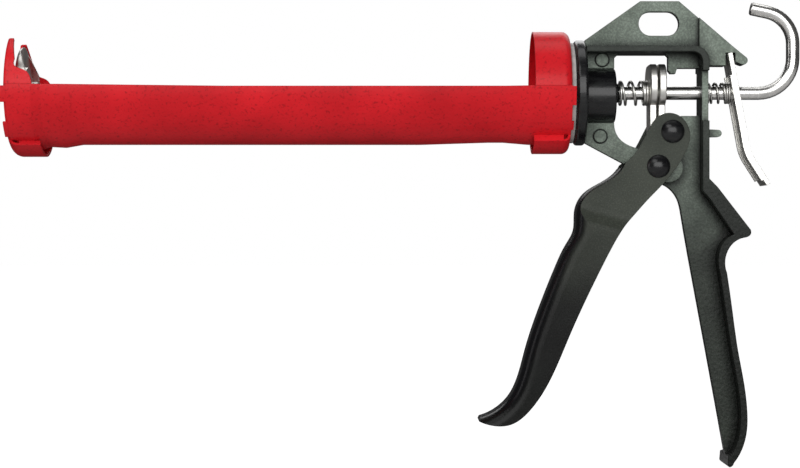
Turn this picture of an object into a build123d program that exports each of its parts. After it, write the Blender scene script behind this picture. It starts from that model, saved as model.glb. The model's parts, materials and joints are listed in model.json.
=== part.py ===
"""Rotating-cradle caulking gun for a standard 310 ml cartridge, as separate pieces.

Millimetres. +X runs along the push rod towards the hook, +Z is up, Y is across.
The origin is where the rod's axis meets the outer face of the front cap.
"""
import os
from math import acos, asin, cos, degrees, radians, sin

from build123d import *

# ---------------------------------------------------------------- driving dimensions
SHEET = 1.2                   # cradle sheet thickness
CRADLE_LENGTH = 259.6         # outer face to outer face of the two caps
TROUGH_IN_R = 25.2            # takes a 50 mm cartridge
TROUGH_OUT_R = TROUGH_IN_R + SHEET
TROUGH_AXIS_Z = 2.1           # the trough's centre lies a little above the rod
TROUGH_RIM_Z = 1.64
FRONT_RIM_Z = 2.4             # the rim stands a little higher at the front
FRONT_OUT_R = 29.15           # the trough's ends, outside, flush with the caps' sides
REAR_OUT_R = 28.6
REAR_AXIS_Z = 4.3             # where the rear end's wider arc is centred
REAR_CAP_R = 28.6
FRONT_CAP_R = 29.2            # at the horns and sides
FRONT_LIP_R = 29.9            # under the trough
CAP_HALF_LIP = 31.0           # degrees each side of the bottom
FAR_OUT_R = 36.0              # clear of every part of the cradle
REAR_CAP_DEPTH = 17.0
FRONT_LIP_X = -0.8            # the lip's face bulges a little in front of the horns
FRONT_LIP_END_X = 14.8
SLOT_R = 10.0                 # nozzle slot

ROD_R = 3.15
RUNNING_GAP = 0.07            # radial, for the rod and the pins in their bores
ROD_FRONT_X = 1.4
HOOK_REAR_X = 365.0
HOOK_R = 16.3
HOOK_TOP_R = 15.2

PISTON_R = 21.4
PISTON_FRONT_X = 3.1
PISTON_DEPTH = 5.0            # at its two sides, which are bent back
PISTON_SHEET = 1.5

WASHER_R = 23.5
WASHER_END_X = 261.7
FLANGE_R = 24.6
FLANGE_X = 262.0
FLANGE_END_X = 267.2
HUB_R = 12.7
HUB_AXIS_Z = -1.3             # the hub's boss sits a little below the rod
HUB_RIVETS = [(275.3, 15.4), (274.4, -20.4)]
RIVET_SHANK_R = 1.8
RIVET_GROOVE = 0.6
RIVET_HEAD_R = 2.9
HUB_END_X = 281.3
SPIGOT_R = 10.2
SPIGOT_X = 254.4
TANG = 2.0                    # thickness of the hub's two fixing tangs
TANG_END_X = 280.0
TANG_HEIGHT = 46.0            # tip to tip

WEB = 5.0                     # casting web thickness
THICK_WEB = 10.0              # casting thickness around the release lever
RIB_WIDTH = 25.0
SPINE_X = 321.1
RIB = 3.0
SPINE_REAR_X = SPINE_X + RIB
TOP_RIB_Z = 18.6
TOP_RIB = 2.6

PIVOT = (300.8, -34.6)        # trigger pivot, X and Z
PUSHER = (307.4, -18.4)       # pusher pin, X and Z
PIN_R = 3.0
HEAD_R = 5.4
CHEEK = 1.8                   # trigger sheet
TRIGGER_TOP_WIDTH = 20.0
TRIGGER_GRIP_WIDTH = 26.0
TRIGGER_ROLL_R = 6.6          # rolled front edges of the trigger
JOGGLE_PLACE = (276, 0, -60)  # middle of the bend where the trigger widens
JOGGLE_TILT = 15.0            # degrees the bend runs downhill towards the rear
JOGGLE_HALF = 5.5

PLATE_X = (297.1, 301.2)      # front faces of the two drive plates
PLATE = 3.1
PLATE_HALF = 13.0
TONGUE_HALF = 7.0

RELEASE_PIVOT = (334.5, 17.0)
RELEASE_TILT = 10.4           # degrees from upright at rest
RELEASE_SHEET = 2.0
RELEASE_WIDTH = 18.6


def finish(part, name):
    """Label a piece and write its STEP file."""
    part.label = name
    export_step(part, f"parts/{name}.step")


def cup_section(outer_r, corner_r, face_x, open_x, sheet=SHEET):
    """Sketch half the section of a pressed cup whose bottom is at face_x and mouth at open_x."""
    way = 1 if open_x > face_x else -1
    inner_r = outer_r - sheet
    inner_corner = corner_r - sheet
    with BuildSketch(Plane.XZ) as section:
        with BuildLine():
            Polyline((face_x, 0), (face_x, outer_r - corner_r))
            RadiusArc(
                (face_x, outer_r - corner_r),
                (face_x + way * corner_r, outer_r),
                way * corner_r,
            )
            Polyline(
                (face_x + way * corner_r, outer_r),
                (open_x, outer_r),
                (open_x, inner_r),
                (face_x + way * corner_r, inner_r),
            )
            RadiusArc(
                (face_x + way * corner_r, inner_r),
                (face_x + way * sheet, outer_r - corner_r),
                -way * inner_corner,
            )
            Polyline((face_x + way * sheet, outer_r - corner_r), (face_x + way * sheet, 0), (face_x, 0))
        make_face()
    return section.sketch


def trough_sector(low_deg, high_deg, inner_r, outer_r, start_x, end_x, axis_z=TROUGH_AXIS_Z):
    """A block of ring about the trough's axis, between two angles measured from straight down."""
    axis = Axis((0, 0, axis_z), (1, 0, 0))
    with BuildPart() as sector:
        with BuildSketch(Plane.XZ):
            with Locations(((start_x + end_x) / 2, axis_z - (inner_r + outer_r) / 2)):
                Rectangle(end_x - start_x, outer_r - inner_r)
        revolve(axis=axis, revolution_arc=high_deg - low_deg)
    return sector.part.rotate(axis, low_deg)


def rim_angle(outer_r, axis_z, rim_z):
    """Degrees from straight down up to the trough's rim."""
    return degrees(acos((axis_z - rim_z) / outer_r))


def side_sectors(outer_r, axis_z, rim_z, start_x, end_x):
    """The two side stretches where the trough passes outside a cap."""
    rim = rim_angle(outer_r, axis_z, rim_z)
    inner_r = outer_r - SHEET
    return [
        trough_sector(CAP_HALF_LIP, rim, inner_r, FAR_OUT_R, start_x, end_x, axis_z),
        trough_sector(-rim, -CAP_HALF_LIP, inner_r, FAR_OUT_R, start_x, end_x, axis_z),
    ]


def dome_middle(base_r, height):
    """A point half-way up a shallow dome: its radius and its height above the dome's base."""
    ball_r = (base_r**2 + height**2) / (2 * height)
    half_angle = asin(base_r / ball_r) / 2
    return ball_r * sin(half_angle), height - ball_r * (1 - cos(half_angle))


def rivet(place, half_grip, name):
    """A rivet across Y with a domed head at each end."""
    x, z = place
    edge = half_grip + 0.4
    dome = 2.7
    mid_r, mid_height = dome_middle(HEAD_R, dome)
    mid_y = edge + mid_height
    with BuildPart() as pin:
        with BuildSketch(Plane.XZ):
            with Locations(place):
                Circle(PIN_R)
        extrude(amount=half_grip, both=True)
        for side in (1, -1):
            with BuildSketch(Plane(origin=(x, 0, z), x_dir=(1, 0, 0), z_dir=(0, 0, 1))):
                with BuildLine():
                    Polyline(
                        (0, side * (edge + dome)),
                        (0, side * half_grip),
                        (HEAD_R, side * half_grip),
                        (HEAD_R, side * edge),
                    )
                    ThreePointArc((HEAD_R, side * edge), (mid_r, side * mid_y), (0, side * (edge + dome)))
                make_face()
            revolve(axis=Axis((x, 0, z), (0, 1, 0)))
    finish(pin.part, name)


def coil(start_x, end_x, radius, wire, turns, closed_rings, name):
    """A compression spring round the rod: open turns, then closed rings at its rear end."""
    ring_step = wire * 0.93
    open_end = end_x - wire / 2 - (closed_rings - 1) * ring_step
    centre_r = radius - wire / 2
    first_x = start_x + wire / 2
    with BuildPart() as spring:
        with BuildLine() as path:
            Helix(
                pitch=(open_end - first_x) / turns,
                height=open_end - first_x,
                radius=centre_r,
                center=(first_x, 0, 0),
                direction=(1, 0, 0),
            )
        with BuildSketch(Plane(origin=path.line @ 0, z_dir=path.line % 0)):
            Circle(wire / 2)
        sweep(is_frenet=True)
        rings = [open_end + i * ring_step for i in range(closed_rings)] + [first_x]
        for ring_x in rings:
            with BuildSketch(Plane.XZ):
                with Locations((ring_x, centre_r)):
                    Circle(wire / 2)
            revolve(axis=Axis.X)
    finish(spring.part, name)


os.makedirs("parts", exist_ok=True)

# ---------------------------------------------------------------- cradle trough
FRONT_SEAT_X = 3.6            # where the trough's bottom starts, behind the front cap's corner
REAR_SEAT_X = 256.9
# X, outside radius, height of the arc's centre and height of the rim
STATIONS = [
    (0.8, FRONT_OUT_R, TROUGH_AXIS_Z, FRONT_RIM_Z),
    (12, FRONT_OUT_R, TROUGH_AXIS_Z, FRONT_RIM_Z),
    (16.5, 27.4, TROUGH_AXIS_Z, FRONT_RIM_Z),
    (24, 27.8, TROUGH_AXIS_Z, FRONT_RIM_Z),
    (32, TROUGH_OUT_R, TROUGH_AXIS_Z, FRONT_RIM_Z),
    (100, TROUGH_OUT_R, TROUGH_AXIS_Z, TROUGH_RIM_Z),
    (190, TROUGH_OUT_R, TROUGH_AXIS_Z, TROUGH_RIM_Z),
    (206, TROUGH_OUT_R, 2.6, TROUGH_RIM_Z),
    (222, TROUGH_OUT_R, 3.1, TROUGH_RIM_Z),
    (229, TROUGH_OUT_R, 3.1, TROUGH_RIM_Z),
    (241, REAR_OUT_R, REAR_AXIS_Z, TROUGH_RIM_Z),
    (CRADLE_LENGTH, REAR_OUT_R, REAR_AXIS_Z, TROUGH_RIM_Z),
]
# each tab: angles from the bottom, where it starts and where it ends
FRONT_TABS = [(74, 89, -2.0, 1.5), (36, 54, -1.4, 1.5)]
REAR_TABS = [(66, 84, 258.6, 261.3), (38, 48, 258.6, 260.6)]
TAB_OUT = 0.1                 # the tabs are pressed a little thinner than the sheet
TAB_IN = SHEET - 0.1
with BuildPart() as cradle_trough:
    for x, outer_r, axis_z, rim_z in STATIONS:
        rim = rim_angle(outer_r, axis_z, rim_z)
        with BuildSketch(Plane.YZ.offset(x)):
            with BuildLine():
                outer = CenterArc((0, axis_z), outer_r, -90 - rim, 2 * rim)
                inner = CenterArc((0, axis_z), outer_r - SHEET, -90 - rim, 2 * rim)
                Line(outer @ 0, inner @ 0)
                Line(outer @ 1, inner @ 1)
            make_face()
    loft(ruled=True)
    for tabs, outer_r, axis_z in [
        (FRONT_TABS, FRONT_OUT_R, TROUGH_AXIS_Z),
        (REAR_TABS, REAR_OUT_R, REAR_AXIS_Z),
    ]:
        for low, high, start, end in tabs:
            add(trough_sector(low, high, outer_r - TAB_IN, outer_r - TAB_OUT, start, end, axis_z))
            add(trough_sector(-high, -low, outer_r - TAB_IN, outer_r - TAB_OUT, start, end, axis_z))
    for start, end, axis_z in [(-5, FRONT_SEAT_X, TROUGH_AXIS_Z), (REAR_SEAT_X, 265, REAR_AXIS_Z)]:
        seat = trough_sector(-CAP_HALF_LIP, CAP_HALF_LIP, 20, FAR_OUT_R, start, end, axis_z)
        add(seat, mode=Mode.SUBTRACT)
finish(cradle_trough.part, "cradle_trough")


def turned_in_edges(lip_r, trough_r, axis_z, start_x, end_x):
    """The lip's two long edges, turned in until they meet the trough."""
    edge_low = CAP_HALF_LIP - 2.6
    edge_high = CAP_HALF_LIP + 0.4
    with BuildPart() as edges:
        add(trough_sector(-edge_high, -edge_low, trough_r, FAR_OUT_R, start_x, end_x, axis_z))
        add(trough_sector(edge_low, edge_high, trough_r, FAR_OUT_R, start_x, end_x, axis_z))
        with BuildSketch(Plane.YZ.offset(start_x - 1)):
            Circle(lip_r)
        extrude(amount=end_x - start_x + 2, mode=Mode.INTERSECT)
    return edges.part


# ---------------------------------------------------------------- front cap
HORN_Y = 15.2                 # the slot's half-width at the horns' tips
EAR_END = (12.8, 1.4)
LIP_TOP_Z = -18.0
with BuildPart() as front_lip:
    with BuildSketch(Plane.XZ):
        add(cup_section(FRONT_LIP_R, 5.0, FRONT_LIP_X, FRONT_LIP_END_X))
    revolve(axis=Axis.X)
    with BuildSketch(Plane.XZ):
        with Locations((10, LIP_TOP_Z + 30)):
            Rectangle(40, 60)
    extrude(amount=40, both=True, mode=Mode.SUBTRACT)
    add(turned_in_edges(FRONT_LIP_R, FRONT_OUT_R, TROUGH_AXIS_Z, 4.5, FRONT_LIP_END_X - 0.3))

with BuildPart() as front_cap:
    with BuildSketch(Plane.XZ):
        add(cup_section(FRONT_CAP_R, 1.4, -0.3, 14))
    revolve(axis=Axis.X)
    with BuildSketch(Plane.XZ):
        with BuildLine():
            Polyline((2.4, 40), (2.4, 24.4), (3.2, 20), (4.4, 14))
            Spline((4.4, 14), (5.2, 10.4), (7.6, 9.4), (10.2, 8.2), (12.0, 5.6), EAR_END)
            Polyline(EAR_END, (EAR_END[0], LIP_TOP_Z), (-2, LIP_TOP_Z), (-2, -40))
            Polyline((-2, -40), (40, -40), (40, 40), (2.4, 40))
        make_face()
    extrude(amount=40, both=True, mode=Mode.SUBTRACT)
    add(front_lip.part)
    with BuildSketch(Plane.YZ):
        Circle(SLOT_R)
        with BuildLine():
            Polyline((SLOT_R, 0), (SLOT_R + 0.6, 6), (HORN_Y - 0.2, 22.4))
            ThreePointArc((HORN_Y - 0.2, 22.4), (HORN_Y + 0.5, 24), (HORN_Y + 2.4, 24.4))
            Polyline((HORN_Y + 2.4, 24.4), (HORN_Y + 2.4, 40), (-HORN_Y - 2.4, 40), (-HORN_Y - 2.4, 24.4))
            ThreePointArc((-HORN_Y - 2.4, 24.4), (-HORN_Y - 0.5, 24), (0.2 - HORN_Y, 22.4))
            Polyline((0.2 - HORN_Y, 22.4), (-SLOT_R - 0.6, 6), (-SLOT_R, 0), (SLOT_R, 0))
        make_face()
    extrude(amount=30, both=True, mode=Mode.SUBTRACT)
    for block in side_sectors(FRONT_OUT_R, TROUGH_AXIS_Z, FRONT_RIM_Z, -1, 20):
        add(block, mode=Mode.SUBTRACT)
finish(front_cap.part, "front_cap")

# ---------------------------------------------------------------- rear cap
REAR_MOUTH_X = CRADLE_LENGTH - REAR_CAP_DEPTH
with BuildPart() as rear_cap:
    with BuildSketch(Plane.XZ):
        add(cup_section(REAR_CAP_R, 3.5, CRADLE_LENGTH, REAR_MOUTH_X))
    revolve(axis=Axis.X)
    with BuildSketch(Plane.YZ.offset(CRADLE_LENGTH + 1)):
        Circle(SPIGOT_R + RUNNING_GAP)
    extrude(amount=-5, mode=Mode.SUBTRACT)
    for block in side_sectors(REAR_OUT_R, REAR_AXIS_Z, TROUGH_RIM_Z, 240, 262):
        add(block, mode=Mode.SUBTRACT)
    add(turned_in_edges(REAR_CAP_R, REAR_OUT_R, REAR_AXIS_Z, REAR_MOUTH_X, REAR_SEAT_X - 0.5))
finish(rear_cap.part, "rear_cap")

# ---------------------------------------------------------------- thrust washer
with BuildPart() as thrust_washer:
    with BuildSketch(Plane.YZ.offset(CRADLE_LENGTH)):
        Circle(WASHER_R)
        Circle(SPIGOT_R + RUNNING_GAP, mode=Mode.SUBTRACT)
    extrude(amount=WASHER_END_X - CRADLE_LENGTH)
    chamfer(thrust_washer.edges().filter_by(GeomType.CIRCLE).sort_by(SortBy.RADIUS)[-2:], 0.3)
finish(thrust_washer.part, "thrust_washer")

# ---------------------------------------------------------------- swivel hub
RING_X = 256.4                # groove for the retaining ring
RING = 1.4
GROOVE_R = 9.2
NOSE_END_X = 283.0
with BuildPart() as swivel_hub:
    with BuildSketch(Plane.XZ):
        with BuildLine():
            Polyline(
                (SPIGOT_X, 0),
                (SPIGOT_X, SPIGOT_R - 0.8),
                (SPIGOT_X + 0.8, SPIGOT_R),
                (RING_X, SPIGOT_R),
                (RING_X, GROOVE_R),
                (RING_X + RING, GROOVE_R),
                (RING_X + RING, SPIGOT_R),
                (FLANGE_X, SPIGOT_R),
                (FLANGE_X, FLANGE_R),
                (FLANGE_END_X, FLANGE_R),
                (FLANGE_END_X, 0),
                close=True,
            )
        make_face()
    revolve(axis=Axis.X)
    rims = swivel_hub.edges().filter_by(GeomType.CIRCLE).sort_by(SortBy.RADIUS)[-2:]
    fillet(rims, 1.6)
    with BuildSketch(Plane.YZ.offset(FLANGE_END_X)):
        with Locations((0, HUB_AXIS_Z)):
            Circle(HUB_R)
    extrude(amount=HUB_END_X - FLANGE_END_X)
    boss_rim = swivel_hub.edges().filter_by(GeomType.CIRCLE).sort_by(Axis.X)[-1]
    fillet(boss_rim, 0.8)
    with BuildSketch(Plane.YZ.offset(HUB_END_X)):
        Circle(5.0)
    extrude(amount=NOSE_END_X - HUB_END_X, taper=20)
    with BuildSketch(Plane.XZ):
        with Locations(((FLANGE_END_X + TANG_END_X) / 2, 0)):
            Rectangle(TANG_END_X - FLANGE_END_X, TANG_HEIGHT)
    extrude(amount=TANG / 2, both=True)
    with BuildSketch(Plane.YZ.offset(SPIGOT_X - 1)):
        Circle(ROD_R + RUNNING_GAP)
    extrude(amount=40, mode=Mode.SUBTRACT)
    with BuildSketch(Plane.XZ):
        with Locations(*HUB_RIVETS):
            Circle(RIVET_SHANK_R)
    extrude(amount=5, both=True, mode=Mode.SUBTRACT)
finish(swivel_hub.part, "swivel_hub")

# ---------------------------------------------------------------- swivel retaining ring
with BuildPart() as retaining_ring:
    with BuildSketch(Plane.YZ.offset(RING_X)):
        Circle(12.4)
        Circle(GROOVE_R, mode=Mode.SUBTRACT)
        with Locations((0, 11)):
            Rectangle(5, 6, mode=Mode.SUBTRACT)
    extrude(amount=RING)
finish(retaining_ring.part, "swivel_retaining_ring")

# ---------------------------------------------------------------- hub rivets
with BuildPart() as hub_rivets:
    with BuildSketch(Plane.XZ):
        with Locations(*HUB_RIVETS):
            Circle(RIVET_SHANK_R)
    extrude(amount=WEB / 2 + 0.2, both=True)
    for side in (1, -1):
        with BuildSketch(Plane.XZ.offset(side * WEB / 2)):
            with Locations(*HUB_RIVETS):
                Circle(RIVET_HEAD_R)
        extrude(amount=side * 0.7)
finish(hub_rivets.part, "hub_rivets")

# ---------------------------------------------------------------- frame casting
NOTCH_LEFT_X = 332.8
NOTCH_RIGHT_X = 337.3
NOTCH_TOP_Z = 18.6
# the handle's outline in X and Z: front, toe, back, and the neck below the tail
HANDLE_FRONT = [(303.3, -42.8), (307.8, -45.6), (310.8, -50), (312.5, -57), (317.5, -85.4), (326.6, -134.6)]
TOE_FRONT = (332.8, -168.9)
TOE_LOW = (332.5, -172.6)
TOE_TIP = (333.6, -174.2)
TOE_BACK = (335.4, -172.3)
HANDLE_BACK = [
    TOE_BACK, (339.1, -166.2), (341.5, -156.9), (341.6, -147.7), (339.9, -133.8), (337.3, -119.9),
    (335.3, -106), (332.2, -84),
]
HANDLE_NECK = [(332.2, -84), (331.6, -77), (334.5, -71), (339.8, -67.9)]
TAIL_TIP = [(339.8, -67.9), (343.4, -65.6), (343.2, -64.1)]
TAIL_TOP = (328.0, -44.4)
# the inner side of the rib along the handle's back
INNER_BACK = [
    (329.2, -84.4), (332.4, -106.5), (334.5, -120), (336.9, -133.4), (338.6, -147), (338.5, -156),
    (336.7, -164), (334.4, -168.4),
]
with BuildPart() as frame_casting:
    with BuildSketch(Plane.XZ):
        with BuildLine():
            Polyline(
                (FLANGE_END_X, -23.5),
                (FLANGE_END_X, 24.6),
                (293.1, 42.9),
                (311.3, 42.9),
                (336.6, 21.2),
                (342.6, 16.3),
            )
            ThreePointArc((342.6, 16.3), (342.7, 13.9), (340.4, 13.2))
            Polyline(
                (340.4, 13.2),
                (NOTCH_RIGHT_X, 14.4),
                (NOTCH_RIGHT_X, NOTCH_TOP_Z),
                (NOTCH_LEFT_X, NOTCH_TOP_Z),
                (NOTCH_LEFT_X, 12.6),
                (SPINE_REAR_X, 12.6),
                (SPINE_REAR_X, -40.4),
                TAIL_TOP,
                TAIL_TIP[-1],
            )
            Spline(*reversed(TAIL_TIP))
            Spline(*reversed(HANDLE_NECK))
            Spline(*reversed(HANDLE_BACK))
            ThreePointArc(TOE_BACK, (334.7, -173.6), TOE_TIP)
            ThreePointArc(TOE_TIP, (332.8, -173.8), TOE_LOW)
            Line(TOE_LOW, TOE_FRONT)
            Spline(TOE_FRONT, *reversed(HANDLE_FRONT))
            Line(HANDLE_FRONT[0], (FLANGE_END_X, -23.5))
        make_face()
        with Locations((301.9, 32.4)):
            SlotOverall(19, 11.3, mode=Mode.SUBTRACT)
        with BuildLine():
            Polyline(
                (281.0, -12.9),
                (281.0, 16.2),
                (283.4, TOP_RIB_Z),
                (304.4, TOP_RIB_Z),
                (306.2, 16.8),
                (306.2, 10.4),
                (307.4, 9.0),
                (309.6, 9.0),
                (310.4, 11.5),
                (SPINE_X, 11.5),
                (SPINE_X, -10.8),
                (312.4, -10.8),
                (312.4, -21.5),
            )
            Spline((312.4, -21.5), (309.6, -25.6), (304, -26.4), (292.6, -26.1), (285, -22.9), (281.0, -12.9))
        make_face(mode=Mode.SUBTRACT)
        with Locations(((FLANGE_END_X + HUB_END_X) / 2, HUB_AXIS_Z)):
            Rectangle(HUB_END_X - FLANGE_END_X, 2 * HUB_R, mode=Mode.SUBTRACT)
    extrude(amount=WEB / 2, both=True)
    # thicker stretch that carries the release lever
    with BuildSketch(Plane.XZ):
        with BuildLine():
            Polyline(
                (SPINE_X - 0.6, 35.0),
                (336.6, 21.2),
                (342.6, 16.3),
            )
            ThreePointArc((342.6, 16.3), (342.7, 13.9), (340.4, 13.2))
            Polyline(
                (340.4, 13.2),
                (NOTCH_RIGHT_X, 14.4),
                (NOTCH_RIGHT_X, NOTCH_TOP_Z),
                (NOTCH_LEFT_X, NOTCH_TOP_Z),
                (NOTCH_LEFT_X, 12.6),
                (SPINE_X - 0.6, 12.6),
                (SPINE_X - 0.6, 35.0),
            )
        make_face()
    extrude(amount=THICK_WEB / 2, both=True)
    # rib along the window's top and down the spine
    with BuildSketch(Plane.XZ):
        with BuildLine():
            Polyline((FLANGE_END_X, TOP_RIB_Z), (316.6, TOP_RIB_Z))
            RadiusArc((316.6, TOP_RIB_Z), (SPINE_X, 14.1), 4.5)
            Polyline((SPINE_X, 14.1), (SPINE_X, -46), (SPINE_REAR_X, -42.4), (SPINE_REAR_X, 14.2))
            RadiusArc((SPINE_REAR_X, 14.2), (317.1, TOP_RIB_Z + TOP_RIB), -7.0)
            Polyline(
                (317.1, TOP_RIB_Z + TOP_RIB),
                (FLANGE_END_X, TOP_RIB_Z + TOP_RIB),
                (FLANGE_END_X, TOP_RIB_Z),
            )
        make_face()
    extrude(amount=RIB_WIDTH / 2, both=True)
    # rib round the back of the handle, from the tail to the toe
    with BuildSketch(Plane.XZ):
        with BuildLine():
            Polyline((SPINE_X, -46), (SPINE_REAR_X, -40.4), TAIL_TOP, TAIL_TIP[-1])
            Spline(*reversed(TAIL_TIP))
            Spline(*reversed(HANDLE_NECK))
            Spline(*reversed(HANDLE_BACK))
            ThreePointArc(TOE_BACK, (334.7, -173.6), TOE_TIP)
            ThreePointArc(TOE_TIP, (332.8, -173.8), TOE_LOW)
            Polyline(TOE_LOW, TOE_FRONT, INNER_BACK[-1])
            Spline(*reversed(INNER_BACK))
            Spline(INNER_BACK[0], (328.4, -76.6), (330.1, -70.8), (335.6, -66.2))
            Polyline((335.6, -66.2), (324.6, -50), (SPINE_X, -46))
        make_face()
    extrude(amount=RIB_WIDTH / 2, both=True)
    # the spine's rib is narrower beside the release spring
    with BuildSketch(Plane.YZ.offset(SPINE_X - 0.2)):
        for side in (1, -1):
            with Locations((side * (9 + 4), -1.8)):
                Rectangle(8, 23.4)
    extrude(amount=RIB + 0.6, mode=Mode.SUBTRACT)
    # stop for the release lever
    with BuildSketch(Plane.XZ):
        with BuildLine():
            Polyline((SPINE_REAR_X - 0.5, -20.8), (SPINE_REAR_X - 0.5, -17.0), (329.6, -17.3))
            ThreePointArc((329.6, -17.3), (331.3, -19), (329.6, -20.6))
            Line((329.6, -20.6), (SPINE_REAR_X - 0.5, -20.8))
        make_face()
    extrude(amount=2.5, both=True)
    # trigger pivot boss
    with BuildSketch(Plane.XZ):
        with Locations((303.2, -34.9)):
            SlotCenterToCenter(4.8, 13.8, rotation=-7)
    extrude(amount=7.9, both=True)
    with BuildSketch(Plane.XZ):
        with Locations(PIVOT):
            Circle(PIN_R + RUNNING_GAP)
    extrude(amount=20, both=True, mode=Mode.SUBTRACT)
    # rod bore, tang slots and rivet holes
    with BuildSketch(Plane.YZ.offset(SPINE_X - 5)):
        Circle(ROD_R + RUNNING_GAP)
    extrude(amount=12, mode=Mode.SUBTRACT)
    with BuildSketch(Plane.XZ):
        with Locations(((FLANGE_END_X + TANG_END_X) / 2, 0)):
            Rectangle(TANG_END_X - FLANGE_END_X, TANG_HEIGHT)
    extrude(amount=TANG / 2, both=True, mode=Mode.SUBTRACT)
    with BuildSketch(Plane.XZ):
        with Locations(*HUB_RIVETS):
            Circle(RIVET_SHANK_R)
    extrude(amount=5, both=True, mode=Mode.SUBTRACT)
    # groove round each rivet head
    for side in (1, -1):
        with BuildSketch(Plane.XZ.offset(side * WEB / 2)):
            with Locations(*HUB_RIVETS):
                Circle(RIVET_HEAD_R + RIVET_GROOVE)
                Circle(RIVET_HEAD_R, mode=Mode.SUBTRACT)
        extrude(amount=-side * RIVET_GROOVE, mode=Mode.SUBTRACT)
finish(frame_casting.part, "frame_casting")

# ---------------------------------------------------------------- trigger lever
TRIGGER_FRONT = [
    (284.0, -33.8), (277.2, -40.6), (266.5, -47.6), (262.9, -55.2), (262.2, -64.6), (258.7, -71.3),
    (254.2, -80.6), (245.8, -101.6), (239.5, -120.6), (235.5, -134.6), (232.0, -141.7), (224.6, -148.7),
    (218.0, -151.6),
]
TRIGGER_BACK = [
    (217.4, -153.2), (223.0, -154.9), (231.8, -154.6), (241.7, -147.0), (248.2, -137.6), (259.0, -113.9),
    (273.0, -83.8), (279.5, -71.2), (284.6, -63.0), (289.5, -57.3), (295.7, -50.3), (302.4, -43.4),
    (308.6, -35.8),
]
TRIGGER_HEAD_REAR = [(308.6, -35.8), (314.6, -25.2), (315.4, -18.6), (312.6, -12.9), (305.2, -9.8)]
TRIGGER_HEAD_FRONT = [(305.2, -9.8), (299.6, -12.4), (296.4, -17.4), (291.8, -26.0), (284.0, -33.8)]
CAVITY_FRONT = [
    (286.2, -35.4), (278.8, -42.6), (268.9, -49.2), (265.3, -55.8), (264.6, -64.9), (261.1, -72.2),
    (256.6, -82.0), (248.2, -102.6), (242.0, -121.4), (238.0, -135.4), (234.6, -142.6),
]


def trigger_joggle(top_half, grip_half):
    """The stretch beside the trigger's narrow top, as blocks to cut away on both sides."""
    reach = 40
    slope = radians(JOGGLE_TILT)
    across = Plane(
        origin=JOGGLE_PLACE,
        x_dir=(0, 1, 0),
        z_dir=(cos(slope), 0, -sin(slope)),
    )
    low = -JOGGLE_HALF
    with BuildPart() as blocks:
        with BuildSketch(across):
            for side in (1, -1):
                with BuildLine():
                    Line((side * reach, low), (side * reach, 2 * reach))
                    Line((side * reach, 2 * reach), (side * top_half, 2 * reach))
                    Line((side * top_half, 2 * reach), (side * top_half, JOGGLE_HALF))
                    Spline(
                        (side * top_half, JOGGLE_HALF),
                        (side * (grip_half + 0.1), low),
                        tangents=((0, -1), (0, -1)),
                    )
                    Line((side * (grip_half + 0.1), low), (side * reach, low))
                make_face()
        extrude(amount=2 * reach, both=True)
    return blocks.part


def rolled_edges(part, x, z, half, radius):
    """Round the two long edges of a channel's front near one point."""
    edges = [part.edges().sort_by_distance((x, side * half, z))[0] for side in (1, -1)]
    fillet(edges, radius)


with BuildPart() as trigger_shell:
    with BuildSketch(Plane.XZ):
        with BuildLine():
            Spline(*TRIGGER_FRONT)
            Line(TRIGGER_FRONT[-1], TRIGGER_BACK[0])
            Spline(*TRIGGER_BACK)
            Spline(*TRIGGER_HEAD_REAR)
            Spline(*TRIGGER_HEAD_FRONT)
        make_face()
    extrude(amount=TRIGGER_GRIP_WIDTH / 2, both=True)
    rolled_edges(trigger_shell, 254.2, -80.6, TRIGGER_GRIP_WIDTH / 2, TRIGGER_ROLL_R)
    add(trigger_joggle(TRIGGER_TOP_WIDTH / 2, TRIGGER_GRIP_WIDTH / 2), mode=Mode.SUBTRACT)

with BuildPart() as trigger_cavity:
    with BuildSketch(Plane.XZ):
        with BuildLine():
            Spline(*CAVITY_FRONT)
            Polyline(CAVITY_FRONT[-1], (240, -150), (262, -150), (330, -60), (330, 0), (270, 0), (270, -35.4))
            Line((270, -35.4), CAVITY_FRONT[0])
        make_face()
    extrude(amount=TRIGGER_GRIP_WIDTH / 2 - CHEEK, both=True)
    rolled_edges(trigger_cavity, 256.6, -82.0, TRIGGER_GRIP_WIDTH / 2 - CHEEK, TRIGGER_ROLL_R - CHEEK)
    add(
        trigger_joggle(TRIGGER_TOP_WIDTH / 2 - CHEEK, TRIGGER_GRIP_WIDTH / 2 - CHEEK),
        mode=Mode.SUBTRACT,
    )

with BuildPart() as trigger_lever:
    add(trigger_shell.part)
    add(trigger_cavity.part, mode=Mode.SUBTRACT)
    with BuildSketch(Plane.XZ):
        with Locations(PIVOT, PUSHER):
            Circle(PIN_R)
    extrude(amount=20, both=True, mode=Mode.SUBTRACT)
finish(trigger_lever.part, "trigger_lever")

# ---------------------------------------------------------------- trigger pins
rivet(PIVOT, TRIGGER_TOP_WIDTH / 2, "pivot_rivet")
rivet(PUSHER, TRIGGER_TOP_WIDTH / 2, "pusher_rivet")

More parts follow.
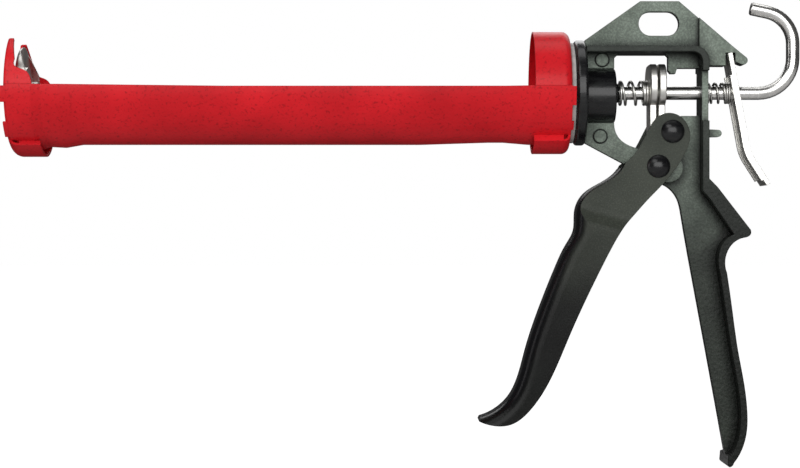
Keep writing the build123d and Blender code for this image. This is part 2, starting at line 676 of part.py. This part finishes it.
# ---------------------------------------------------------------- drive plates
PLATE_TOP_Z = 13.2
PLATE_CORNER_R = 8.0
SHOULDER_Z = -6.2
TONGUE_END_Z = -20.5
GRIP_HOLE_R = ROD_R + 0.35
for front_x, name in zip(PLATE_X, ("drive_plate_front", "drive_plate_rear")):
    with BuildPart() as drive_plate:
        with BuildSketch(Plane.YZ.offset(front_x)):
            with Locations((0, (PLATE_TOP_Z + SHOULDER_Z) / 2)):
                RectangleRounded(2 * PLATE_HALF, PLATE_TOP_Z - SHOULDER_Z, PLATE_CORNER_R)
            with Locations((0, (SHOULDER_Z + TONGUE_END_Z + 3) / 2)):
                RectangleRounded(2 * TONGUE_HALF, SHOULDER_Z - TONGUE_END_Z + 3, 2.0)
            Circle(GRIP_HOLE_R, mode=Mode.SUBTRACT)
        extrude(amount=PLATE)
        rims = drive_plate.edges().filter_by(Plane.YZ).filter_by(GeomType.CIRCLE, reverse=True)
        chamfer(rims, 0.35)
    finish(drive_plate.part, name)

coil(NOSE_END_X + 0.3, PLATE_X[0] - 0.1, 6.0, 1.3, 2.3, 2, "drive_spring")

# ---------------------------------------------------------------- release lever
LEVER_TOP = 1.2               # above the pivot, along the lever
LEVER_STRAIGHT = 42.2         # below it
LEVER_BEND_R = 20.0
LEVER_BEND = 22.0             # degrees that the thumb end turns back
LEVER_TAIL = 13.4
LEVER_FLANGE = 3.0            # depth of the two folded sides
LEVER_SIDE = 1.5              # their thickness
ROD_DISTANCE = RELEASE_PIVOT[1] / cos(radians(RELEASE_TILT)) - 0.1
PIVOT_X, PIVOT_Z = RELEASE_PIVOT


def lever_strip(shift, thickness, top_z, tail, half_width):
    """A length of the lever's profile, moved forwards by shift and extruded across the rod."""
    x = PIVOT_X - shift
    low = (x, PIVOT_Z - LEVER_STRAIGHT)
    with BuildPart() as strip:
        with BuildSketch(Plane.XZ):
            with BuildLine():
                Line((x, top_z), low)
                bend = JernArc(low, (0, -1), LEVER_BEND_R + shift, LEVER_BEND)
                Line(bend @ 1, (bend @ 1) + (bend % 1) * tail)
            trace(line_width=thickness)
        extrude(amount=half_width, both=True)
    return strip.part


SIDE_TOP_Z = PIVOT_Z - 9
SIDE_TAIL = LEVER_TAIL - 3
side_shift = (LEVER_FLANGE - RELEASE_SHEET) / 2
with BuildPart() as release_lever:
    add(lever_strip(side_shift, LEVER_FLANGE, SIDE_TOP_Z, SIDE_TAIL, RELEASE_WIDTH / 2))
    hollow_half = RELEASE_WIDTH / 2 - LEVER_SIDE
    add(lever_strip(RELEASE_SHEET / 2 + 2, 4, SIDE_TOP_Z + 2, LEVER_TAIL, hollow_half), mode=Mode.SUBTRACT)
    add(lever_strip(0, RELEASE_SHEET, PIVOT_Z + LEVER_TOP, LEVER_TAIL, RELEASE_WIDTH / 2))
    with BuildSketch(Plane.YZ.offset(PIVOT_X - 5)):
        with Locations((0, PIVOT_Z - ROD_DISTANCE)):
            SlotOverall(7.8, 7.0, rotation=90)
        with Locations((0, 8.6)):
            Circle(1.0)
    extrude(amount=10, mode=Mode.SUBTRACT)
lever = release_lever.part.rotate(Axis((PIVOT_X, 0, PIVOT_Z), (0, 1, 0)), -RELEASE_TILT)
finish(lever, "release_lever")

coil(SPINE_REAR_X + 0.3, 335.4, 5.1, 1.2, 2.6, 2, "release_spring")

# ---------------------------------------------------------------- push rod
HOOK_TOP_Z = 35.5             # where the hook's upright and its returning end would meet
HOOK_TIP = (345.1, 39.8)
PEEN_R = 5.0
with BuildPart() as push_rod:
    with BuildLine(Plane.XZ) as rod_line:
        FilletPolyline(
            (ROD_FRONT_X + 1, 0), (HOOK_REAR_X, 0), (HOOK_REAR_X, HOOK_TOP_Z), HOOK_TIP,
            radius=[HOOK_R, HOOK_TOP_R],
        )
    with BuildSketch(Plane(origin=rod_line.line @ 0, z_dir=(1, 0, 0))):
        Circle(ROD_R)
    sweep()
    hook_end = push_rod.faces().filter_by(GeomType.PLANE).sort_by(Axis.Z)[-1]
    chamfer(hook_end.edges(), 0.5)
    # riveted-over front end
    peen_base_x = PISTON_FRONT_X - 0.4
    mid_r, mid_height = dome_middle(PEEN_R, peen_base_x - ROD_FRONT_X)
    with BuildSketch(Plane.XZ):
        with BuildLine():
            Polyline((ROD_FRONT_X, 0), (PISTON_FRONT_X, 0), (PISTON_FRONT_X, PEEN_R), (peen_base_x, PEEN_R))
            ThreePointArc((peen_base_x, PEEN_R), (peen_base_x - mid_height, mid_r), (ROD_FRONT_X, 0))
        make_face()
    revolve(axis=Axis.X)
finish(push_rod.part, "push_rod")

# ---------------------------------------------------------------- piston
BACKING_R = 12.0
BACKING = 1.6
RIM_R = 1.7
FLAT_Z = 18.2                 # above this the piston is flat
SIDE_Z = 9.2                  # below this its bent sides have their full depth
with BuildPart() as piston_plate:
    with BuildSketch(Plane.XZ):
        add(cup_section(PISTON_R, RIM_R, PISTON_FRONT_X, PISTON_FRONT_X + PISTON_DEPTH, PISTON_SHEET))
    revolve(axis=Axis.X)
    flat_x = PISTON_FRONT_X + PISTON_SHEET
    back_x = PISTON_FRONT_X + PISTON_DEPTH
    for side in (1, -1):
        with BuildSketch(Plane.XZ):
            with BuildLine():
                Polyline(
                    (flat_x, side * 30),
                    (flat_x, side * FLAT_Z),
                    (back_x, side * SIDE_Z),
                    (back_x + 5, side * SIDE_Z),
                    (back_x + 5, side * 30),
                    close=True,
                )
            make_face()
        extrude(amount=30, both=True, mode=Mode.SUBTRACT)
    with BuildSketch(Plane.YZ.offset(PISTON_FRONT_X - 1)):
        Circle(ROD_R)
    extrude(amount=12, mode=Mode.SUBTRACT)
finish(piston_plate.part, "piston_plate")

with BuildPart() as piston_washer:
    with BuildSketch(Plane.YZ.offset(PISTON_FRONT_X + PISTON_SHEET)):
        Circle(BACKING_R)
        Circle(ROD_R, mode=Mode.SUBTRACT)
    extrude(amount=BACKING)
    chamfer(piston_washer.edges().filter_by(GeomType.CIRCLE).sort_by(SortBy.RADIUS)[-2:], 0.3)
finish(piston_washer.part, "piston_washer")

with BuildPart() as piston_nut:
    with BuildSketch(Plane.YZ.offset(PISTON_FRONT_X + PISTON_SHEET + BACKING)):
        RegularPolygon(5.77, 6)
        Circle(ROD_R, mode=Mode.SUBTRACT)
    extrude(amount=5.0)
finish(piston_nut.part, "piston_nut")
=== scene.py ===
import json
import math

import bmesh
import bpy
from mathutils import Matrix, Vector


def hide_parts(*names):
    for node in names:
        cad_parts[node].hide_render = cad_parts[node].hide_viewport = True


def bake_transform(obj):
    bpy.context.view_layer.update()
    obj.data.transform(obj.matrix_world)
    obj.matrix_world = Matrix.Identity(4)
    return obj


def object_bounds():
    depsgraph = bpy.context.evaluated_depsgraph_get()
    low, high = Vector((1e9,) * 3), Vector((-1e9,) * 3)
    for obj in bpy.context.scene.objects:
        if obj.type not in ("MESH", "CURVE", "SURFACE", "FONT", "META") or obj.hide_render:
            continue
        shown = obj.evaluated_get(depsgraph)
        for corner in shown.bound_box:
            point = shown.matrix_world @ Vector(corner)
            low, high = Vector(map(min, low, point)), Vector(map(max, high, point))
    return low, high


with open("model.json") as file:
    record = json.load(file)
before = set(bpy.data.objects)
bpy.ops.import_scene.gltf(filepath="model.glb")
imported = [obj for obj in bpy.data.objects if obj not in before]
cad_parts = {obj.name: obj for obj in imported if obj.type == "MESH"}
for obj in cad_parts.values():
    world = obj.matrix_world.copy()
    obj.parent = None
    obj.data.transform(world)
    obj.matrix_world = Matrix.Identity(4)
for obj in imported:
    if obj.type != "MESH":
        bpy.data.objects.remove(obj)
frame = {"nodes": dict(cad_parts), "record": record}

CAD_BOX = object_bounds()
NODES = frame["nodes"]
SLOT_OF = {part["node"]: part["material_slot"] for part in frame["record"]["subparts"]}

# ------------------------------------------------------------------ camera, stage and lights
CAMERA_PLACE = (0.18066, -0.965, -0.0661)
LENS = 92.5
SENSOR_WIDTH = 36.0

# the surround is white to the camera and dim to everything else
SEEN_WHITE = 1.0
FLOOR_GLOW = 0.03
WORLD_GLOW = 0.06
FLOOR_HALF = 6.0
FLOOR_DROP = 0.0005           # gap between the floor and the lowest point
FLOOR_FRONT = (0.6, 0.6, 0.6)
FLOOR_BEHIND = (0.03, 0.03, 0.03)
FLOOR_SHADES = ((0.10, 0.10, 0.10), (0.12, 0.12, 0.12))
FLOOR_TURN = (0.0, 0.15)      # where the floor changes from front to behind, along Y

# name: place, target, size, power; the big front box ends a little below the camera's height
LIGHTS = {
    "front": ((0.2, -1.75, 0.50), (0.2, 0, 0.50), (2.2, 1.16), 26.0),
    "key": ((-0.3, -0.8, 0.9), (0.2, 0, -0.02), (0.8, 0.5), 3.0),
    "top": ((0.2, 0.1, 1.0), (0.2, 0, 0), (1.2, 0.5), 3.0),
    "back": ((0.2, 1.4, 0.9), (0.2, 0, 0.0), (1.8, 0.8), 9.0),
    "left": ((-1.1, -0.2, 0.2), (0.2, 0, -0.05), (0.25, 0.9), 1.5),
}

# ------------------------------------------------------------------ finish
EDGE_RANGE = (0.98, 0.7)      # how far the eased normal leaves the flat one beside an edge
BEVEL_SAMPLES = 4
CORNER_SHADE_SAMPLES = 6
MIDDLE = (0.3, 0.7)           # the part of a noise pattern that carries most of it

RED_SHADES = ((0.53, 0.008, 0.014), (0.72, 0.013, 0.021))
RED_SPECK = (0.24, 0.004, 0.007)
RED_EDGE_DARK = (0.20, 0.005, 0.006)

# painted light makes the casting pale at the top; painted shade darkens it down the handle, along
# edges, on side faces and in corners
CASTING_LIT_UPPER = ((0.090, 0.112, 0.090), (0.215, 0.255, 0.214))
CASTING_SHADED_LOWER = ((0.013, 0.016, 0.013), (0.034, 0.041, 0.033))
CASTING_PIT = (0.012, 0.014, 0.012)
CASTING_EDGE_SHADE = (0.006, 0.007, 0.006)
CASTING_PAINTED_SHADE = (0.004, 0.005, 0.004)
CASTING_CORNER_SHADE = (0.002, 0.003, 0.002)
CASTING_SHADE_FADE = (-0.075, -0.012)   # heights between which painted light turns the casting pale
RIB_LAND = (0.009, 0.0115)        # distance from the middle plane where the ribs' tops lie

# painted light on the trigger's top; painted shade on its grip, its front and in corners
TRIGGER_LIT_UPPER = ((0.032, 0.037, 0.029), (0.055, 0.062, 0.049))
TRIGGER_SHADED_LOWER = ((0.002, 0.002, 0.002), (0.006, 0.007, 0.006))
TRIGGER_FRONT_SHADE = (0.006, 0.006, 0.007)
TRIGGER_CORNER_SHADE = (0.004, 0.004, 0.004)
TRIGGER_SHADE_FADE = (-0.100, -0.05)

GLOSS_SHADES = ((0.005, 0.005, 0.006), (0.014, 0.015, 0.015))
GLOSS_SPECK = (0.06, 0.06, 0.055)

ZINC = (0.86, 0.85, 0.81)
SPRING_STEEL = (0.72, 0.71, 0.68)
CHROME = (0.95, 0.94, 0.91)
NYLON_SHADES = ((0.50, 0.49, 0.47), (0.32, 0.31, 0.30))


# ------------------------------------------------------------------ shader helper
class Nodes:
    """Small helper that adds shader nodes to one material and links them."""

    def __init__(self, name):
        self.material = bpy.data.materials.new(name)
        self.material.use_nodes = True
        self.tree = self.material.node_tree
        self.shader = self.tree.nodes["Principled BSDF"]
        self.coords = self.tree.nodes.new("ShaderNodeTexCoord").outputs["Object"]

    def set(self, **values):
        for key, value in values.items():
            self.shader.inputs[key.replace("_", " ")].default_value = value

    def link(self, source, target):
        self.tree.links.new(source, target)

    def stretched(self, scale):
        mapping = self.tree.nodes.new("ShaderNodeMapping")
        mapping.inputs["Scale"].default_value = scale
        self.link(self.coords, mapping.inputs["Vector"])
        return mapping.outputs["Vector"]

    def noise(self, scale, detail=3.0, roughness=0.5, vector=None):
        node = self.tree.nodes.new("ShaderNodeTexNoise")
        node.inputs["Scale"].default_value = scale
        node.inputs["Detail"].default_value = detail
        node.inputs["Roughness"].default_value = roughness
        self.link(vector or self.coords, node.inputs["Vector"])
        return node.outputs["Fac"]

    def cells(self, scale, smooth):
        node = self.tree.nodes.new("ShaderNodeTexVoronoi")
        node.feature = "SMOOTH_F1"
        node.inputs["Scale"].default_value = scale
        node.inputs["Smoothness"].default_value = smooth
        self.link(self.coords, node.inputs["Vector"])
        return node.outputs["Distance"]

    def level(self, value, low, high, out_low=0.0, out_high=1.0):
        """A value's range from low to high, stretched to another range and held there."""
        node = self.tree.nodes.new("ShaderNodeMapRange")
        node.inputs["From Min"].default_value = low
        node.inputs["From Max"].default_value = high
        node.inputs["To Min"].default_value = out_low
        node.inputs["To Max"].default_value = out_high
        self.link(value, node.inputs["Value"])
        return node.outputs["Result"]

    def math(self, operation, first, second):
        node = self.tree.nodes.new("ShaderNodeMath")
        node.operation = operation
        for value, socket in zip((first, second), node.inputs):
            if isinstance(value, (int, float)):
                socket.default_value = value
            else:
                self.link(value, socket)
        return node.outputs["Value"]

    def size(self, value):
        return self.math("ABSOLUTE", value, 0)

    def mix(self, factor, first, second):
        node = self.tree.nodes.new("ShaderNodeMix")
        node.data_type = "RGBA"
        self.link(factor, node.inputs["Factor"])
        for value, socket in zip((first, second), (node.inputs["A"], node.inputs["B"])):
            if isinstance(value, tuple):
                socket.default_value = (*value, 1)
            else:
                self.link(value, socket)
        return node.outputs["Result"]

    def cover(self, base, mask, strength, colour):
        """The base with a colour laid over it where a mask is 1."""
        return self.mix(self.level(mask, 0, 1, 0, strength), base, colour)

    def axis(self, vector, name):
        node = self.tree.nodes.new("ShaderNodeSeparateXYZ")
        self.link(vector, node.inputs["Vector"])
        return node.outputs[name]

    def rounded(self, radius):
        """The surface normal with every sharp edge eased by a radius in metres."""
        node = self.tree.nodes.new("ShaderNodeBevel")
        node.samples = BEVEL_SAMPLES
        node.inputs["Radius"].default_value = radius
        return node.outputs["Normal"]

    def edges(self, rounded):
        """1 beside sharp edges, 0 on flat faces."""
        geometry = self.tree.nodes.new("ShaderNodeNewGeometry")
        dot = self.tree.nodes.new("ShaderNodeVectorMath")
        dot.operation = "DOT_PRODUCT"
        self.link(rounded, dot.inputs[0])
        self.link(geometry.outputs["Normal"], dot.inputs[1])
        return self.level(dot.outputs["Value"], *EDGE_RANGE)

    def facing(self, name):
        """How far the surface faces along one axis of its own, from -1 to 1."""
        return self.axis(self.tree.nodes["Texture Coordinate"].outputs["Normal"], name)

    def bump(self, *layers, start):
        """Each layer is (height, distance in metres)."""
        normal = start
        for height, distance in layers:
            node = self.tree.nodes.new("ShaderNodeBump")
            node.inputs["Distance"].default_value = distance
            node.inputs["Strength"].default_value = 1.0
            self.link(height, node.inputs["Height"])
            self.link(normal, node.inputs["Normal"])
            normal = node.outputs["Normal"]
        self.link(normal, self.shader.inputs["Normal"])

    def scaled(self, colour, factor):
        node = self.tree.nodes.new("ShaderNodeVectorMath")
        node.operation = "SCALE"
        self.link(colour, node.inputs[0])
        node.inputs["Scale"].default_value = factor
        return node.outputs["Vector"]

    def corner_shade(self, reach, low=0.35, high=0.8):
        """1 in corners and grooves, 0 in the open: the mask for painted shade."""
        node = self.tree.nodes.new("ShaderNodeAmbientOcclusion")
        node.samples = CORNER_SHADE_SAMPLES
        node.only_local = True
        node.inputs["Distance"].default_value = reach
        return self.level(node.outputs["AO"], high, low)

    def colour(self, value):
        self.link(value, self.shader.inputs["Base Color"])

    def roughness(self, value):
        self.link(value, self.shader.inputs["Roughness"])


# ------------------------------------------------------------------ camera and stage
def make_camera():
    data = bpy.data.cameras.new("camera")
    data.lens = LENS
    data.sensor_width = SENSOR_WIDTH
    camera = bpy.data.objects.new("camera", data)
    camera.location = CAMERA_PLACE
    camera.rotation_euler = (math.radians(90), 0, 0)
    bpy.context.scene.collection.objects.link(camera)
    bpy.context.scene.camera = camera


def area_light(name, place, target, size, power):
    data = bpy.data.lights.new(name, "AREA")
    data.shape = "RECTANGLE"
    data.size, data.size_y = size
    data.energy = power
    light = bpy.data.objects.new(name, data)
    light.location = place
    light.visible_camera = False
    aim = Vector(target) - Vector(place)
    light.rotation_euler = aim.to_track_quat("-Z", "Y").to_euler()
    bpy.context.scene.collection.objects.link(light)


def floor_material():
    """White to the camera; otherwise dark behind the tool, and pale in front to throw light up."""
    n = Nodes("pale_floor")
    n.set(Roughness=0.9, Emission_Color=(1, 1, 1, 1), Specular_IOR_Level=0.1)
    seen = n.tree.nodes.new("ShaderNodeLightPath").outputs["Is Camera Ray"]
    speckle = n.mix(n.noise(30, 2), *FLOOR_SHADES)
    behind = n.level(n.axis(n.coords, "Y"), *FLOOR_TURN)
    n.colour(n.mix(seen, n.mix(behind, FLOOR_FRONT, FLOOR_BEHIND), speckle))
    glow = n.level(seen, 0, 1, FLOOR_GLOW, SEEN_WHITE)
    n.link(glow, n.shader.inputs["Emission Strength"])
    return n.material


def make_floor():
    low, high = CAD_BOX
    middle = (low[0] + high[0]) / 2
    bm = bmesh.new()
    corners = [
        bm.verts.new((middle + FLOOR_HALF * x, FLOOR_HALF * y, low[2] - FLOOR_DROP))
        for x, y in ((-1, -1), (1, -1), (1, 1), (-1, 1))
    ]
    bm.faces.new(corners)
    mesh = bpy.data.meshes.new("floor")
    bm.to_mesh(mesh)
    bm.free()
    floor = bpy.data.objects.new("floor", mesh)
    bpy.context.scene.collection.objects.link(floor)
    floor.data.materials.append(floor_material())


def make_world():
    world = bpy.data.worlds.new("studio")
    world.use_nodes = True
    tree = world.node_tree
    background = tree.nodes["Background"]
    background.inputs["Color"].default_value = (1, 1, 1, 1)
    seen = tree.nodes.new("ShaderNodeLightPath").outputs["Is Camera Ray"]
    strength = tree.nodes.new("ShaderNodeMapRange")
    strength.inputs["To Min"].default_value = WORLD_GLOW
    strength.inputs["To Max"].default_value = SEEN_WHITE
    tree.links.new(seen, strength.inputs["Value"])
    tree.links.new(strength.outputs["Result"], background.inputs["Strength"])
    bpy.context.scene.world = world
    bpy.context.scene.view_settings.view_transform = "Standard"


# ------------------------------------------------------------------ materials
def red_enamel():
    """Sprayed enamel with fine dark specks, darker in patches along the cut edges."""
    n = Nodes("red_enamel")
    n.set(Coat_Weight=0.06, Coat_Roughness=0.12, Specular_IOR_Level=0.15)
    patches = n.noise(24, 4, 0.55)
    specks = n.noise(750, 2, 0.6)
    ripple = n.noise(120, 2, 0.5, n.stretched((0.25, 1, 1)))
    rounded = n.rounded(0.0005)
    base = n.mix(n.level(patches, *MIDDLE), *RED_SHADES)
    base = n.mix(n.level(specks, 0.56, 0.72, 0, 0.6), base, RED_SPECK)
    # darker red in patches along the edges
    edge_dark = n.math("MULTIPLY", n.edges(rounded), n.level(patches, 0.42, 0.7, 0, 0.55))
    base = n.mix(edge_dark, base, RED_EDGE_DARK)
    n.colour(base)
    n.roughness(n.level(n.noise(60, 3), *MIDDLE, 0.30, 0.42))
    n.bump((ripple, 0.00016), (specks, 0.00003), start=rounded)
    return n.material


def hammered_grey():
    """Thick hammered enamel, with painted light making it paler on the frame's top and painted
    shade darkening it down the handle.
    """
    n = Nodes("hammered_grey")
    n.set(Specular_IOR_Level=0.18, Coat_Weight=0.03, Coat_Roughness=0.18)
    height = n.axis(n.coords, "Z")
    cells = n.cells(620, 0.7)
    grain = n.noise(1100, 3, 0.65)
    clouds = n.noise(34, 4, 0.6)
    rounded = n.rounded(0.0007)
    # painted light and painted shade: a pale and a dark copy of the enamel, blended by height
    lit_upper = n.mix(n.level(clouds, *MIDDLE), *CASTING_LIT_UPPER)
    shaded_lower = n.mix(n.level(clouds, *MIDDLE), *CASTING_SHADED_LOWER)
    drift = n.math("ADD", height, n.level(clouds, *MIDDLE, -0.006, 0.006))
    base = n.mix(n.level(drift, *CASTING_SHADE_FADE), shaded_lower, lit_upper)
    base = n.mix(n.level(grain, 0.45, 0.62, 0, 0.5), base, n.scaled(base, 2.1))
    base = n.mix(n.level(cells, 0.12, 0.0, 0, 0.5), base, CASTING_PIT)
    # painted shade along the sharp edges
    base = n.cover(base, n.edges(rounded), 0.8, CASTING_EDGE_SHADE)
    # painted shade: the ribs' tops and all faces at right angles to the sides are painted nearly
    # black
    rib_top_shade = n.level(n.size(n.axis(n.coords, "Y")), *RIB_LAND, 0, 0.85)
    base = n.mix(rib_top_shade, base, CASTING_PAINTED_SHADE)
    side_wall_shade = n.level(n.size(n.facing("Y")), 0.75, 0.35, 0, 0.95)
    base = n.mix(side_wall_shade, base, CASTING_PAINTED_SHADE)
    # painted shade in corners and grooves
    base = n.cover(base, n.corner_shade(0.006, 0.55, 0.93), 0.97, CASTING_CORNER_SHADE)
    n.colour(base)
    fine = n.level(grain, *MIDDLE, 0.0, 0.14)
    n.roughness(n.math("ADD", fine, n.level(height, -0.17, -0.03, 0.26, 0.36)))
    n.bump((cells, 0.00012), (grain, 0.00008), start=rounded)
    return n.material


def satin_black():
    """Trigger enamel, glossy where the leading edge curls over, with painted shade darkening that
    edge and the grip below and painted light on the top.
    """
    n = Nodes("satin_black")
    n.set(Coat_Weight=0.03, Coat_Roughness=0.12, Specular_IOR_Level=0.14)
    height = n.axis(n.coords, "Z")
    grain = n.noise(1300, 2, 0.6)
    clouds = n.noise(30, 3)
    rounded = n.rounded(0.0006)
    # painted light and painted shade: a pale and a dark copy of the enamel, blended by height
    lit_upper = n.mix(n.level(clouds, *MIDDLE), *TRIGGER_LIT_UPPER)
    shaded_lower = n.mix(n.level(clouds, *MIDDLE), *TRIGGER_SHADED_LOWER)
    base = n.mix(n.level(height, *TRIGGER_SHADE_FADE), shaded_lower, lit_upper)
    base = n.mix(n.level(grain, 0.5, 0.66, 0, 0.4), base, n.scaled(base, 2.0))
    # painted shade on the faces that look forward, which are also made glossier
    rolled_front_shade = n.level(n.facing("X"), -0.25, -0.6)
    base = n.mix(rolled_front_shade, base, TRIGGER_FRONT_SHADE)
    # painted shade in corners and grooves
    base = n.cover(base, n.corner_shade(0.003), 0.8, TRIGGER_CORNER_SHADE)
    n.colour(base)
    fine = n.level(n.noise(90, 3), *MIDDLE, 0, 0.1)
    satin = n.math("ADD", fine, n.level(height, -0.15, -0.04, 0.24, 0.38))
    n.roughness(n.math("SUBTRACT", satin, n.level(rolled_front_shade, 0, 1, 0, 0.12)))
    n.bump((grain, 0.00007), (n.noise(110, 2), 0.00012), start=rounded)
    return n.material


def black_gloss(name, roughness):
    """Glossy black with light scuffs and specks of dust."""
    n = Nodes(name)
    n.set(Coat_Weight=0.2, Coat_Roughness=0.06, Specular_IOR_Level=0.35)
    scuffs = n.noise(90, 4, 0.6, n.stretched((1, 1, 4)))
    specks = n.noise(1500, 2, 0.6)
    rounded = n.rounded(0.0004)
    base = n.mix(n.level(scuffs, 0.4, 0.75), *GLOSS_SHADES)
    base = n.mix(n.level(specks, 0.66, 0.74, 0, 0.4), base, GLOSS_SPECK)
    n.colour(base)
    n.roughness(n.level(scuffs, *MIDDLE, roughness, roughness + 0.14))
    n.bump((n.noise(260, 2), 0.00007), start=rounded)
    return n.material


def shade(colour, factor):
    return tuple(factor * channel for channel in colour)


def plated(name, colour, roughness, stretch, rim_shade):
    """Zinc or chrome plate with draw marks and stains, with painted shade in corners, along edges
    and, on round wire, as a dark band where the surface faces neither front nor back.
    """
    n = Nodes(name)
    n.set(Metallic=1.0)
    streaks = n.noise(90, 4, 0.7, n.stretched(stretch))
    stains = n.noise(150, 4, 0.65)
    pits = n.noise(1100, 2, 0.6)
    rounded = n.rounded(0.0004)
    base = n.mix(n.level(stains, 0.42, 0.7), colour, shade(colour, 0.75))
    base = n.mix(n.level(pits, 0.64, 0.74, 0, 0.6), base, shade(colour, 0.3))
    # painted shade in corners and grooves
    base = n.cover(base, n.corner_shade(0.0025), 0.8, shade(colour, 0.06))
    # painted shade along the sharp edges
    base = n.cover(base, n.edges(rounded), 0.85, shade(colour, 0.08))
    # painted shade where round wire faces neither front nor back
    turned_rim_shade = n.level(n.size(n.facing("Y")), 0.5, 0.12, 0, rim_shade)
    base = n.mix(turned_rim_shade, base, shade(colour, 0.1))
    n.colour(base)
    n.roughness(n.level(streaks, *MIDDLE, roughness, roughness + 0.2))
    n.bump((streaks, 0.00005), (stains, 0.00005), start=rounded)
    return n.material


def grey_nylon():
    n = Nodes("grey_nylon")
    n.set(Specular_IOR_Level=0.35)
    marks = n.noise(300, 4, 0.6)
    n.colour(n.mix(n.level(marks, 0.35, 0.7), *NYLON_SHADES))
    n.roughness(n.level(marks, *MIDDLE, 0.45, 0.6))
    n.bump((marks, 0.00008), start=n.rounded(0.0004))
    return n.material


MATERIALS = {
    "red_enamel": red_enamel(),
    "grey_nylon": grey_nylon(),
    "black_enamel": black_gloss("black_enamel", 0.2),
    "hammered_grey": hammered_grey(),
    "satin_black": satin_black(),
    "rivet_black": black_gloss("rivet_black", 0.24),
    "zinc_plate": plated("zinc_plate", ZINC, 0.26, (1, 1, 0.08), rim_shade=0.0),
    "spring_steel": plated("spring_steel", SPRING_STEEL, 0.22, (1, 1, 1), rim_shade=0.9),
    "rod_chrome": plated("rod_chrome", CHROME, 0.12, (0.04, 1, 1), rim_shade=0.9),
}


# ------------------------------------------------------------------ pieces
def paint(obj, slot):
    obj.data.materials.clear()
    obj.data.materials.append(MATERIALS[slot])


def flexing_spring(node_name):
    """A copy of a spring, which sits between the frame and the moving body it presses on, shown in
    place of the hidden part.
    """
    spring = bpy.data.objects.new(node_name + "_coils", NODES[node_name].data.copy())
    bpy.context.scene.collection.objects.link(spring)
    paint(spring, SLOT_OF[node_name])
    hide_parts(node_name)
    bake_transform(spring)


make_camera()
make_floor()
make_world()
for light_name, settings in LIGHTS.items():
    area_light(light_name, *settings)
for node_name, node in NODES.items():
    paint(node, SLOT_OF[node_name])
flexing_spring("drive_spring")
flexing_spring("release_spring")
